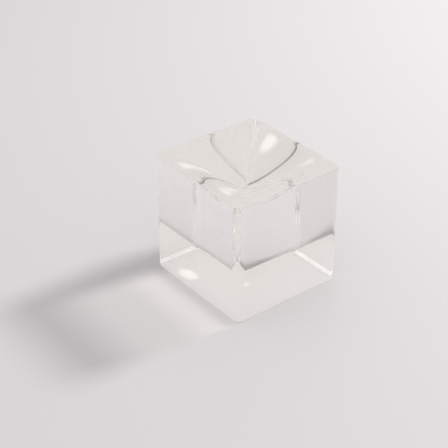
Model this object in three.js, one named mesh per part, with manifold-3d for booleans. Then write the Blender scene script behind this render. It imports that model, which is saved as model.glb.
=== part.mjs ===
// Clear acrylic display cube: one solid block of cast acrylic with a hollowed
// top that seats a ball, an egg or a mineral specimen.
//
// Frame: millimetres, +Z up. The origin is the centre of the flat base, so the
// block stands on the plane z = 0. The hollow is centred on the Z axis.

import * as THREE from "three";
import { mergeVertices } from "three/addons/utils/BufferGeometryUtils.js";
import Module from "manifold-3d";

// ---------------------------------------------------------------- dimensions
const WIDTH = 48; // along X
const DEPTH = 50; // along Y
const HEIGHT = 48.3; // along Z
const CORNER_RADIUS = 3.4; // the four upright edges
const TOP_EDGE_RADIUS = 0.5; // polished break on the top edges
const BASE_EDGE_RADIUS = 1; // polished break on the base edges

const DISH_HALF_X = 21.6; // from the axis to where the hollow meets the flat top
const DISH_HALF_Y = (DISH_HALF_X * DEPTH) / WIDTH; // in proportion to the block
const DISH_DEPTH = 11.9; // on the axis
const DISH_POINT = 1.34; // 1 = pointed at the bottom, larger = flatter
const DISH_SOFTNESS = 1.58; // 1 = crisp rim, larger = softer rim
const DISH_SQUARENESS = 6; // 2 = round in plan, larger = squarer

// Allowances for clean boolean cuts
const RIM_OVERRUN = 0.05; // cutter past the rim, as a share of the dish half size
const CUTTER_CLEARANCE = 6; // cutter above the flat top
const BASE_BLOCK_CLEARANCE = 5; // base-edge block above the flat top

// --------------------------------------------------------------- tessellation
const CORNER_SEGMENTS = 10; // per upright edge
const EDGE_SEGMENTS = 3; // across each small edge break
const DISH_SEGMENTS = 96; // round the hollow
const DISH_STEPS = 16; // from the axis to the rim
const WELD_TOLERANCE = 1e-4; // vertices closer than this are joined

// --------------------------------------------------------- solid conversions
const wasm = await Module();
wasm.setup();

// The closed solid that a geometry bounds. Normals and UVs are dropped first,
// since vertices that differ in them would not be joined.
function toSolid(geometry) {
  geometry.deleteAttribute("normal");
  geometry.deleteAttribute("uv");
  const welded = mergeVertices(geometry, WELD_TOLERANCE);
  return new wasm.Manifold(
    new wasm.Mesh({
      numProp: 3,
      vertProperties: new Float32Array(welded.attributes.position.array),
      triVerts: new Uint32Array(welded.index.array),
    }),
  );
}

// The geometry of a closed solid that carries positions only, with normals.
function toGeometry(solid) {
  const mesh = solid.getMesh();
  const positions = new Float32Array(mesh.vertProperties);
  const geometry = new THREE.BufferGeometry();
  geometry.setAttribute("position", new THREE.BufferAttribute(positions, 3));
  geometry.setIndex(new THREE.BufferAttribute(new Uint32Array(mesh.triVerts), 1));
  geometry.computeVertexNormals();
  return geometry;
}

// --------------------------------------------------------------- solid block
// Rounded rectangle centred on the origin, drawn anticlockwise.
function roundedRectangle(width, depth, radius) {
  // Centre of the corner arc at +X, +Y
  const x = width / 2 - radius;
  const y = depth / 2 - radius;
  const shape = new THREE.Shape();
  shape.moveTo(-x, -y - radius);
  shape.lineTo(x, -y - radius);
  shape.absarc(x, -y, radius, -Math.PI / 2, 0, false);
  shape.lineTo(x + radius, y);
  shape.absarc(x, y, radius, 0, Math.PI / 2, false);
  shape.lineTo(-x, y + radius);
  shape.absarc(-x, y, radius, Math.PI / 2, Math.PI, false);
  shape.lineTo(-x - radius, -y);
  shape.absarc(-x, -y, radius, Math.PI, Math.PI * 1.5, false);
  return shape;
}

// Block with a small round bevel at both ends. The bevel eats inwards, so the
// outline keeps its full size between the edge breaks.
function roundedBlock(edgeRadius, height) {
  const outline = roundedRectangle(WIDTH, DEPTH, CORNER_RADIUS);
  const geometry = new THREE.ExtrudeGeometry(outline, {
    depth: height - 2 * edgeRadius,
    steps: 1,
    curveSegments: CORNER_SEGMENTS,
    bevelEnabled: true,
    bevelThickness: edgeRadius,
    bevelSize: edgeRadius,
    bevelOffset: -edgeRadius,
    bevelSegments: EDGE_SEGMENTS,
  });
  geometry.translate(0, 0, edgeRadius);
  return toSolid(geometry);
}

// -------------------------------------------------------------------- hollow
// Depth below the flat top at a share (0 to 1) of the way from axis to rim:
// nearly a point on the axis, then flanks that ease out to nothing.
const dishDepth = (share) =>
  DISH_DEPTH * Math.pow(1 - Math.pow(share, DISH_POINT), DISH_SOFTNESS);

// Half section of the cutter: unit radius at the rim, heights in millimetres.
function dishProfile() {
  const profile = [];
  for (let i = 0; i < DISH_STEPS; i++) {
    const share = i / DISH_STEPS;
    profile.push(new THREE.Vector2(share, HEIGHT - dishDepth(share)));
  }
  // The last facet runs on past the rim, so that it crosses the top plane.
  const last = profile[profile.length - 1];
  const slope = (HEIGHT - last.y) / (1 - last.x);
  const outerRadius = 1 + RIM_OVERRUN;
  const cutterTop = HEIGHT + CUTTER_CLEARANCE;
  profile.push(
    new THREE.Vector2(outerRadius, HEIGHT + slope * RIM_OVERRUN),
    new THREE.Vector2(outerRadius, cutterTop),
    new THREE.Vector2(0, cutterTop),
  );
  return profile;
}

// The profile is turned about Y, then stood up along Z, and each ring is
// pushed out to a rectangle with soft corners.
function dishCutter() {
  const geometry = new THREE.LatheGeometry(dishProfile(), DISH_SEGMENTS);
  geometry.rotateX(Math.PI / 2);
  const position = geometry.attributes.position;
  for (let i = 0; i < position.count; i++) {
    const x = position.getX(i);
    const y = position.getY(i);
    const radius = Math.hypot(x, y);
    if (radius === 0) continue; // points on the axis have no direction
    const stretch =
      (Math.abs(x / radius) ** DISH_SQUARENESS +
        Math.abs(y / radius) ** DISH_SQUARENESS) **
      (-1 / DISH_SQUARENESS);
    position.setX(i, x * stretch * DISH_HALF_X);
    position.setY(i, y * stretch * DISH_HALF_Y);
  }
  return toSolid(geometry);
}

// ---------------------------------------------------------------- the object
// The first block shapes the top edges. The second stands taller, so only the
// larger break on its base edges counts.
function displayBlockSolid() {
  return roundedBlock(TOP_EDGE_RADIUS, HEIGHT)
    .intersect(roundedBlock(BASE_EDGE_RADIUS, HEIGHT + BASE_BLOCK_CLEARANCE))
    .subtract(dishCutter());
}

const clearAcrylic = new THREE.MeshStandardMaterial({
  color: 0xf3f1ee,
  roughness: 0.04,
  metalness: 0,
  transparent: true,
  opacity: 0.35,
});

const displayBlock = new THREE.Mesh(toGeometry(displayBlockSolid()), clearAcrylic);
displayBlock.name = "display_block";

const displayCube = new THREE.Group();
displayCube.name = "acrylic_display_cube";
displayCube.add(displayBlock);

export default displayCube;
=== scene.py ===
"""A clear acrylic display block with a polished hollow in its top.

The block is a rounded rectangle in plan, width along X and depth along Y, and stands
upright along +Z on a pale floor. The key light comes from the +X side, and the camera
looks down from between -X and -Y. Units are metres.
"""

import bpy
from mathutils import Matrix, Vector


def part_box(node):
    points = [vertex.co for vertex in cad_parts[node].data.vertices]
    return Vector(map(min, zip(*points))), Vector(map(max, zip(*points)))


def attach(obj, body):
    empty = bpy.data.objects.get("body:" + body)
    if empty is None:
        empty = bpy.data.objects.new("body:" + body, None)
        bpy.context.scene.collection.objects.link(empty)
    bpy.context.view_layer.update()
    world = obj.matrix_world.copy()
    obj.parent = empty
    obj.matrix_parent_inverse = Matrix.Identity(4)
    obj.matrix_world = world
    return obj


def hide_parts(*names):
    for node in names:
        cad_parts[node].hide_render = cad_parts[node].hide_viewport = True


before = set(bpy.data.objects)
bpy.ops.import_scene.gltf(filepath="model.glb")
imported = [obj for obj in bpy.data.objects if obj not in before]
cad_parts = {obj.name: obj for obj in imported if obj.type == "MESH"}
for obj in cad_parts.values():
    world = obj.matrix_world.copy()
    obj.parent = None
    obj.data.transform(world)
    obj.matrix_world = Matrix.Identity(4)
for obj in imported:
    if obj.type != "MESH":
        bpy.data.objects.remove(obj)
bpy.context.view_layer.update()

import math

import bpy
import numpy as np
from mathutils import Vector

MM = 0.001

# ------------------------------------------------------------------ dimensions
# Outline, height and place come from the CAD node.
NODE = "display_block"
LOW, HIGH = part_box(NODE)
WIDTH, DEPTH, HEIGHT = HIGH.x - LOW.x, HIGH.y - LOW.y, HIGH.z - LOW.z
CENTRE_X, CENTRE_Y = (HIGH.x + LOW.x) / 2, (HIGH.y + LOW.y) / 2
BASE_Z = LOW.z

CORNER_RADIUS = 3.4 * MM     # upright edges
TOP_BREAK = 0.5 * MM         # radius along the top edges
BASE_BREAK = 1.0 * MM        # radius along the base edges

DISH_DEPTH = 11.9 * MM
DISH_HALF_WIDTH = 21.6 * MM  # along X; along Y it follows the block's proportions
DISH_FLATNESS = 1.34         # 1 = pointed at the bottom, larger = flatter
DISH_RIM_SOFTNESS = 1.58     # how softly the rim runs out
DISH_SQUARENESS = 6.0        # 2 = round in plan, larger = squarer
DISH_FADE = 0.08             # share of the depth over which the "dish" attribute fades in
SLOPE_STEP = 2e-6            # half step for measuring the dish's slope

LOOP_POINTS = 256            # points round each ring
DISH_RINGS = 110             # rings across the dish and the flat land
BREAK_RINGS = 8              # rings across each edge break
SIDE_RINGS = 12              # rings up the sides
BASE_STEPS = 10              # steps from the rim of the base to its middle

FLOOR_HALF_SIZE = 3.0
FLOOR_GAP = 0.12 * MM        # between the base and the floor

# ------------------------------------------------------------------ light shares
# Share of the lamp's light that reaches the floor, by the height on the side where
# its ray leaves: (height / width, share).
FLOOR_LIGHT = (
    (0.0, 0.52), (0.045, 0.66), (0.09, 0.96), (0.17, 1.0),
    (0.26, 0.76), (0.34, 0.63), (0.50, 0.60), (0.59, 0.52),
    (0.67, 0.36), (0.75, 0.19), (0.83, 0.10), (0.93, 0.02),
)
BASE_LIGHT = 1.1                     # share passed by faces met from inside
FLOOR_GAIN = 1.45 / BASE_LIGHT       # the two together pass 1.45 at a share of 1
LAMP_TINT = (1.0, 0.985, 0.982)

DISH_HAZE = 0.05                     # roughness added in the hand-polished dish
FOOT_PAINTED_SHADE = (0.74, 0.69, 0.66, 1)   # painted shade at the foot of the walls, seen straight on
PAINTED_EDGE_GLINT = 0.35                    # painted highlight: emission along the base edge break, in place of the light it catches


# ------------------------------------------------------------------------ block
def outline(inset):
    """Points and outward normals of the block's plan, drawn in by inset.

    Every side and corner has the same count whatever the inset, so rings line up."""
    radius = CORNER_RADIUS - inset
    half_size = np.array([WIDTH, DEPTH]) / 2 - inset
    arc_points, straight_points = LOOP_POINTS // 8, LOOP_POINTS // 16
    points, normals = [], []

    def add_straight(start, end, normal):
        for i in range(straight_points):
            points.append(start + (end - start) * (i / straight_points))
            normals.append(normal)

    sides = [np.array(side) for side in ((1, 0), (0, 1), (-1, 0), (0, -1))]
    for quarter, side in enumerate(sides):
        next_side = sides[(quarter + 1) % 4]
        corner = (half_size - radius) * (side + next_side)
        add_straight(side * half_size, corner + side * radius, side)
        for i in range(arc_points):
            angle = quarter * math.pi / 2 + math.pi / 2 * i / arc_points
            normal = np.array([math.cos(angle), math.sin(angle)])
            points.append(corner + radius * normal)
            normals.append(normal)
        add_straight(corner + next_side * radius, next_side * half_size, next_side)
    return np.array(points, float), np.array(normals, float)


def dish(x, y):
    """Height of the top surface relative to the flat land, at a point of the plan."""
    across = np.abs(x / DISH_HALF_WIDTH)
    along = np.abs(y / (DISH_HALF_WIDTH * DEPTH / WIDTH))
    reach = (across ** DISH_SQUARENESS + along ** DISH_SQUARENESS) ** (1 / DISH_SQUARENESS)
    reach = np.clip(reach, 0, 1)
    return -DISH_DEPTH * (1 - reach ** DISH_FLATNESS) ** DISH_RIM_SOFTNESS


def level_ring(plan, z, outward, upward):
    """Points and normals of a ring at one height."""
    return (np.column_stack([plan, np.full(LOOP_POINTS, z)]),
            np.column_stack([outward, np.full(LOOP_POINTS, upward)]))


def top_rings():
    """Dish and flat land: circles in the middle that grow into the block's outline."""
    rim, _ = outline(TOP_BREAK)
    angle = np.arctan2(rim[:, 1], rim[:, 0])
    circle = np.stack([np.cos(angle), np.sin(angle)], 1) * (min(WIDTH, DEPTH) / 2 - TOP_BREAK)
    step = SLOPE_STEP
    rings = []
    for i in range(1, DISH_RINGS + 1):
        scale = i / DISH_RINGS
        squared = scale ** 3
        plan = (circle * (1 - squared) + rim * squared) * scale
        x, y = plan[:, 0], plan[:, 1]
        slope_x = (dish(x + step, y) - dish(x - step, y)) / (2 * step)
        slope_y = (dish(x, y + step) - dish(x, y - step)) / (2 * step)
        normal = np.stack([-slope_x, -slope_y, np.ones_like(slope_x)], 1)
        rings.append((np.column_stack([x, y, HEIGHT + dish(x, y)]),
                      normal / np.linalg.norm(normal, axis=1, keepdims=True)))
    return rings


def wall_rings():
    """Top edge break, sides and base edge break, downwards."""
    turns = [math.pi / 2 * i / BREAK_RINGS for i in range(1, BREAK_RINGS + 1)]
    rings = []
    for turn in turns:
        s, c = math.sin(turn), math.cos(turn)
        plan, outward = outline(TOP_BREAK * (1 - s))
        rings.append(level_ring(plan, HEIGHT - TOP_BREAK * (1 - c), outward * s, c))
    plan, outward = outline(0)
    side_top = HEIGHT - TOP_BREAK
    for i in range(1, SIDE_RINGS + 1):
        z = side_top + (BASE_BREAK - side_top) * i / SIDE_RINGS
        rings.append(level_ring(plan, z, outward, 0.0))
    for turn in turns:
        s, c = math.sin(turn), math.cos(turn)
        plan, outward = outline(BASE_BREAK * (1 - c))
        rings.append(level_ring(plan, BASE_BREAK * (1 - s), outward * c, -s))
    return rings


def base_rings():
    """Flat base, from near its rim towards the middle."""
    rim, outward = outline(BASE_BREAK)
    return [level_ring(rim * (1 - i / BASE_STEPS), 0.0, outward * 0, -1.0)
            for i in range(1, BASE_STEPS)]


def block_faces(ring_count, first_base_ring):
    """Faces and their material slots: 0 is acrylic, 1 the sanded base."""
    faces, slots = [], []
    last_ring = 1 + (ring_count - 1) * LOOP_POINTS
    base_middle = last_ring + LOOP_POINTS
    for j in range(LOOP_POINTS):
        after = (j + 1) % LOOP_POINTS
        faces.append((0, 1 + j, 1 + after))
        slots.append(0)
        for i in range(ring_count - 1):
            ring = 1 + i * LOOP_POINTS
            below = ring + LOOP_POINTS
            faces.append((ring + j, below + j, below + after, ring + after))
            slots.append(1 if i + 1 >= first_base_ring else 0)
        faces.append((last_ring + j, base_middle, last_ring + after))
        slots.append(1)
    return faces, slots


def block_mesh():
    """One closed mesh with exact normals, ringed from the bottom of the dish to the
    middle of the base."""
    rings = top_rings() + wall_rings()
    first_base_ring = len(rings)
    rings += base_rings()
    bottom = HEIGHT + float(dish(0.0, 0.0))
    verts = np.vstack([[[0, 0, bottom]]] + [points for points, _ in rings] + [[[0, 0, 0]]])
    normals = np.vstack([[[0, 0, 1.0]]] + [normal for _, normal in rings] + [[[0, 0, -1.0]]])
    faces, slots = block_faces(len(rings), first_base_ring)

    mesh = bpy.data.meshes.new("acrylic_block")
    placed = verts + np.array([CENTRE_X, CENTRE_Y, BASE_Z])
    mesh.from_pydata(placed.tolist(), [], faces)
    mesh.update()
    mesh.shade_smooth()
    mesh.polygons.foreach_set("material_index", slots)
    mesh.normals_split_custom_set_from_vertices(normals.tolist())

    # 1 in the hollow, 0 elsewhere, fading at its rim
    in_dish = np.zeros(len(verts))
    top_end = 1 + DISH_RINGS * LOOP_POINTS
    depth = -dish(verts[:top_end, 0], verts[:top_end, 1])
    in_dish[:top_end] = np.clip(depth / (DISH_FADE * DISH_DEPTH), 0, 1)
    mesh.attributes.new("dish", "FLOAT", "POINT").data.foreach_set("value", in_dish)

    # 1 on the base edge break
    on_edge = np.zeros(len(verts))
    edge_end = 1 + first_base_ring * LOOP_POINTS
    on_edge[edge_end - BREAK_RINGS * LOOP_POINTS:edge_end] = 1
    mesh.attributes.new("base_edge", "FLOAT", "POINT").data.foreach_set("value", on_edge)
    return mesh


# ------------------------------------------------------------------- materials
class Shader:
    """A new material and short ways to add nodes to it."""

    def __init__(self, name):
        self.material = bpy.data.materials.new(name)
        self.material.use_nodes = True
        self.tree = self.material.node_tree
        self.tree.nodes.clear()

    def node(self, kind, inputs=None, **settings):
        """Add a node; inputs holds a value or a socket to link, by name or index."""
        node = self.tree.nodes.new("ShaderNode" + kind)
        for setting, value in settings.items():
            setattr(node, setting, value)
        for key, value in (inputs or {}).items():
            if isinstance(value, bpy.types.NodeSocket):
                self.tree.links.new(value, node.inputs[key])
            else:
                node.inputs[key].default_value = value
        return node

    def socket(self, kind, output, inputs=None, **settings):
        """Add a node and return one of its outputs."""
        return self.node(kind, inputs, **settings).outputs[output]

    def math(self, operation, *values):
        return self.socket("Math", 0, dict(enumerate(values)), operation=operation)

    def noise(self, coords, scale, detail):
        return self.socket("TexNoise", "Fac",
                           {"Vector": coords, "Scale": scale, "Detail": detail})

    def attribute(self, name):
        return self.socket("Attribute", "Fac", attribute_name=name)

    def remap(self, value, source, target, smooth=True):
        """Map the range source onto the range target."""
        return self.socket("MapRange", 0, {
            "Value": value,
            "From Min": source[0], "From Max": source[1],
            "To Min": target[0], "To Max": target[1],
        }, interpolation_type="SMOOTHSTEP" if smooth else "LINEAR")

    def ramp(self, value, stops, interpolation="LINEAR"):
        """Colour ramp through stops of (position, colour)."""
        node = self.node("ValToRGB", {"Fac": value})
        ramp = node.color_ramp
        ramp.interpolation = interpolation
        for element, stop in zip(ramp.elements, (stops[0], stops[-1])):
            element.position, element.color = stop
        for position, colour in stops[1:-1]:
            ramp.elements.new(position).color = colour
        return node.outputs["Color"]


def polishing_haze(shader, coords):
    """Roughness: broad soft patches, and a little more all over the dish."""
    patches = shader.noise(coords, scale=70, detail=4)
    haze = shader.remap(patches, (0.52, 0.75), (0.0, 0.05), smooth=False)
    return shader.math("MULTIPLY_ADD", shader.attribute("dish"), DISH_HAZE, haze)


def painted_edge_glint(shader, coords, facing):
    """Painted highlight on the base edge break: uneven emission in place of the light it
    catches, seen along it and not straight on.
    """
    glint = shader.remap(facing, (0.30, 0.50), (0.0, PAINTED_EDGE_GLINT))
    # only in the shallow lines of sight that come in by the side faces
    incoming = shader.socket("NewGeometry", "Incoming")
    steepness = shader.socket("SeparateXYZ", "Z", {0: incoming})
    shallow = shader.remap(steepness, (0.42, 0.52), (1.0, 0.0))
    seen = shader.math("MULTIPLY", glint, shallow)
    on_edge = shader.math("MULTIPLY", seen, shader.attribute("base_edge"))
    # and not in what the walls mirror: at most one bounce from the camera
    ray_depth = shader.socket("LightPath", "Ray Depth")
    direct = shader.math("LESS_THAN", ray_depth, 1.5)
    unmirrored = shader.math("MULTIPLY", on_edge, direct)
    wave = shader.noise(coords, scale=90, detail=3)
    spread = shader.remap(wave, (0.3, 0.7), (0.7, 1.2), smooth=False)
    return shader.math("MULTIPLY", unmirrored, spread)


def painted_foot_shade(shader, height, facing, backfacing):
    """Body colour with a painted shade, darker straight on at the foot of the far walls,
    standing in for the shade in the narrow gap under the edge break that they show."""
    # painted shade: the body colour darkens here in place of shade
    foot = shader.remap(height, (0.010, 0.065), (1.0, 0.0))
    straight_on = shader.remap(facing, (0.25, 0.45), (1.0, 0.0))
    shade = shader.math("MULTIPLY", shader.math("MULTIPLY", foot, straight_on), backfacing)
    # inputs 6 and 7 are the colours A and B
    return shader.socket("Mix", 2, {0: shade, 6: (1.0, 1.0, 1.0, 1), 7: FOOT_PAINTED_SHADE},
                         data_type="RGBA")


def lamp_share(shader, height, y, backfacing):
    """Colour a lamp's ray keeps where it crosses the surface."""
    stops = [(position, (share,) * 3 + (1,)) for position, share in FLOOR_LIGHT]
    reach = shader.ramp(height, stops, "B_SPLINE")
    level = shader.socket("SeparateColor", 0, {0: reach})
    # fades towards the +Y side
    aside = shader.math("DIVIDE", y, DEPTH)
    inner = shader.remap(aside, (0.28, 0.50), (1.0, 0.05))
    outside = shader.math("MULTIPLY", shader.math("MULTIPLY", level, inner), FLOOR_GAIN)
    # inputs 2 and 3 are the values A, from outside, and B, from inside
    keep = shader.socket("Mix", 0, {0: backfacing, 2: outside, 3: BASE_LIGHT},
                         data_type="FLOAT")
    return shader.socket("VectorMath", 0, {0: LAMP_TINT, "Scale": keep}, operation="SCALE")


def acrylic_material():
    """Polished clear cast acrylic with a faint warm tint that deepens with thickness.

    Lamps reach through it by a transparent shader, which stands in for the light the
    solid block bends down to the floor beside it."""
    shader = Shader("clear_cast_acrylic")
    coords = shader.socket("TexCoord", "Object")
    facing = shader.socket("LayerWeight", "Facing", {"Blend": 0.5})
    backfacing = shader.socket("NewGeometry", "Backfacing")
    axes = shader.node("SeparateXYZ", {0: coords}).outputs
    height = shader.math("DIVIDE", shader.math("SUBTRACT", axes["Z"], BASE_Z), WIDTH)

    body = shader.socket("BsdfPrincipled", 0, {
        # body colour carries a painted shade at the foot of the far walls
        "Base Color": painted_foot_shade(shader, height, facing, backfacing),
        "Roughness": polishing_haze(shader, coords),
        "IOR": 1.49,
        "Transmission Weight": 1.0,
        # painted highlight: the base edge break glows by emission, though it is no lamp
        "Emission Color": (1.0, 0.96, 0.91, 1),
        "Emission Strength": painted_edge_glint(shader, coords, facing),
    })
    lamp_light = shader.socket("BsdfTransparent", 0, {
        "Color": lamp_share(shader, height, axes["Y"], backfacing),
    })
    is_shadow = shader.socket("LightPath", "Is Shadow Ray")
    surface = shader.socket("MixShader", 0, {0: is_shadow, 1: body, 2: lamp_light})
    volume = shader.socket("VolumeAbsorption", 0, {
        "Color": (0.85, 0.58, 0.36, 1),
        "Density": 1.0,
    })
    shader.node("OutputMaterial", {"Surface": surface, "Volume": volume})
    return shader.material


def base_material():
    """The base face, left as sawn and sanded: matt, pale, finely grained."""
    shader = Shader("sanded_base_face")
    coords = shader.socket("TexCoord", "Object")
    grain = shader.noise(coords, scale=900, detail=6)
    colour = shader.ramp(grain, ((0.3, (0.945, 0.925, 0.915, 1)),
                                 (0.7, (0.985, 0.972, 0.965, 1))))
    bump = shader.socket("Bump", 0, {"Strength": 0.1, "Distance": 0.0001, "Height": grain})
    surface = shader.socket("BsdfPrincipled", 0, {
        "Base Color": colour,
        "Roughness": 0.9,
        "Specular IOR Level": 0.0,
        "Normal": bump,
    })
    shader.node("OutputMaterial", {"Surface": surface})
    return shader.material


def floor_material():
    """Pale floor with a soft sheen."""
    shader = Shader("pale_floor")
    surface = shader.socket("BsdfPrincipled", 0, {
        "Base Color": (0.764, 0.741, 0.752, 1),
        "Roughness": 0.35,
        "Specular IOR Level": 0.25,
    })
    shader.node("OutputMaterial", {"Surface": surface})
    return shader.material


# --------------------------------------------------------------- block and floor
def add_object(name, data):
    added = bpy.data.objects.new(name, data)
    bpy.context.scene.collection.objects.link(added)
    return added


def add_block():
    block = add_object("acrylic_block", block_mesh())
    block.data.materials.append(acrylic_material())
    block.data.materials.append(base_material())
    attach(block, "root")
    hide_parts(NODE)


def add_floor():
    size = FLOOR_HALF_SIZE
    corners = [(-size, -size, 0), (size, -size, 0), (size, size, 0), (-size, size, 0)]
    mesh = bpy.data.meshes.new("floor")
    mesh.from_pydata(corners, [], [(0, 1, 2, 3)])
    floor = add_object("floor", mesh)
    floor.location = (0, 0, BASE_Z - FLOOR_GAP)
    mesh.materials.append(floor_material())


# ------------------------------------------------------------- lights and camera
def toward(azimuth, elevation):
    """Unit vector at an azimuth (0 is -Y, 90 is +X) and elevation, in degrees."""
    a, e = math.radians(azimuth), math.radians(elevation)
    return Vector((math.sin(a) * math.cos(e), -math.cos(a) * math.cos(e), math.sin(e)))


def aim(pointed, direction):
    """Turn a lamp or camera to look along direction."""
    pointed.rotation_mode = "QUATERNION"
    pointed.rotation_quaternion = direction.to_track_quat("-Z", "Y")


def add_lamp(name, kind, target, distance, **settings):
    """Add a lamp that shines on target from the key direction."""
    data = bpy.data.lights.new(name, kind)
    for setting, value in settings.items():
        setattr(data, setting, value)
    lamp = add_object(name, data)
    direction = toward(azimuth=81, elevation=39)
    lamp.location = target + direction * distance
    aim(lamp, -direction)
    # the acrylic's lamp share brings its light through instead
    lamp.visible_transmission = False
    lamp.visible_glossy = False


def add_world():
    world = bpy.data.worlds.new("studio")
    world.use_nodes = True
    background = world.node_tree.nodes["Background"]
    background.inputs["Color"].default_value = (1.0, 0.995, 0.99, 1)
    background.inputs["Strength"].default_value = 0.62
    world.cycles.sampling_method = "NONE"
    bpy.context.scene.world = world


def add_lights():
    add_lamp("key_softbox", "AREA", Vector((0, 0, HEIGHT / 2)), 20 * WIDTH,
             shape="DISK", size=4 * WIDTH, energy=2450 * WIDTH * WIDTH,
             color=(1, 0.99, 0.98))
    # the spot of key light that the hollow gathers and throws on the base
    spot = Vector((CENTRE_X - 0.228 * WIDTH, CENTRE_Y + 0.243 * WIDTH, BASE_Z))
    add_lamp("focused_beam", "SPOT", spot, 6 * WIDTH,
             energy=1.1, spot_size=math.radians(1.9), spot_blend=0.55,
             shadow_soft_size=0.02 * WIDTH, color=(1, 0.98, 0.94))


def add_camera():
    data = bpy.data.cameras.new("camera")
    data.sensor_width = 36
    data.lens = 96.508929
    data.clip_start = 0.01
    data.clip_end = 20
    camera = add_object("camera", data)
    back = toward(azimuth=-39.35, elevation=31.75)
    right = (-back).cross(Vector((0, 0, 1))).normalized()
    up = right.cross(-back)
    centre = Vector((CENTRE_X, CENTRE_Y, BASE_Z + 0.526 * WIDTH))
    camera.location = centre + back * (9.3 * WIDTH)
    # aimed a little left of and below the centre
    target = centre + right * (-0.171 * WIDTH) + up * (-0.075 * WIDTH)
    aim(camera, target - camera.location)
    bpy.context.scene.camera = camera


def set_render():
    scene = bpy.context.scene
    scene.view_settings.view_transform = "Standard"
    scene.cycles.use_denoising = True
    scene.cycles.max_bounces = 24
    scene.cycles.transmission_bounces = 24
    scene.cycles.glossy_bounces = 24
    scene.cycles.sample_clamp_indirect = 10


add_block()
add_floor()
add_world()
add_lights()
add_camera()
set_render()
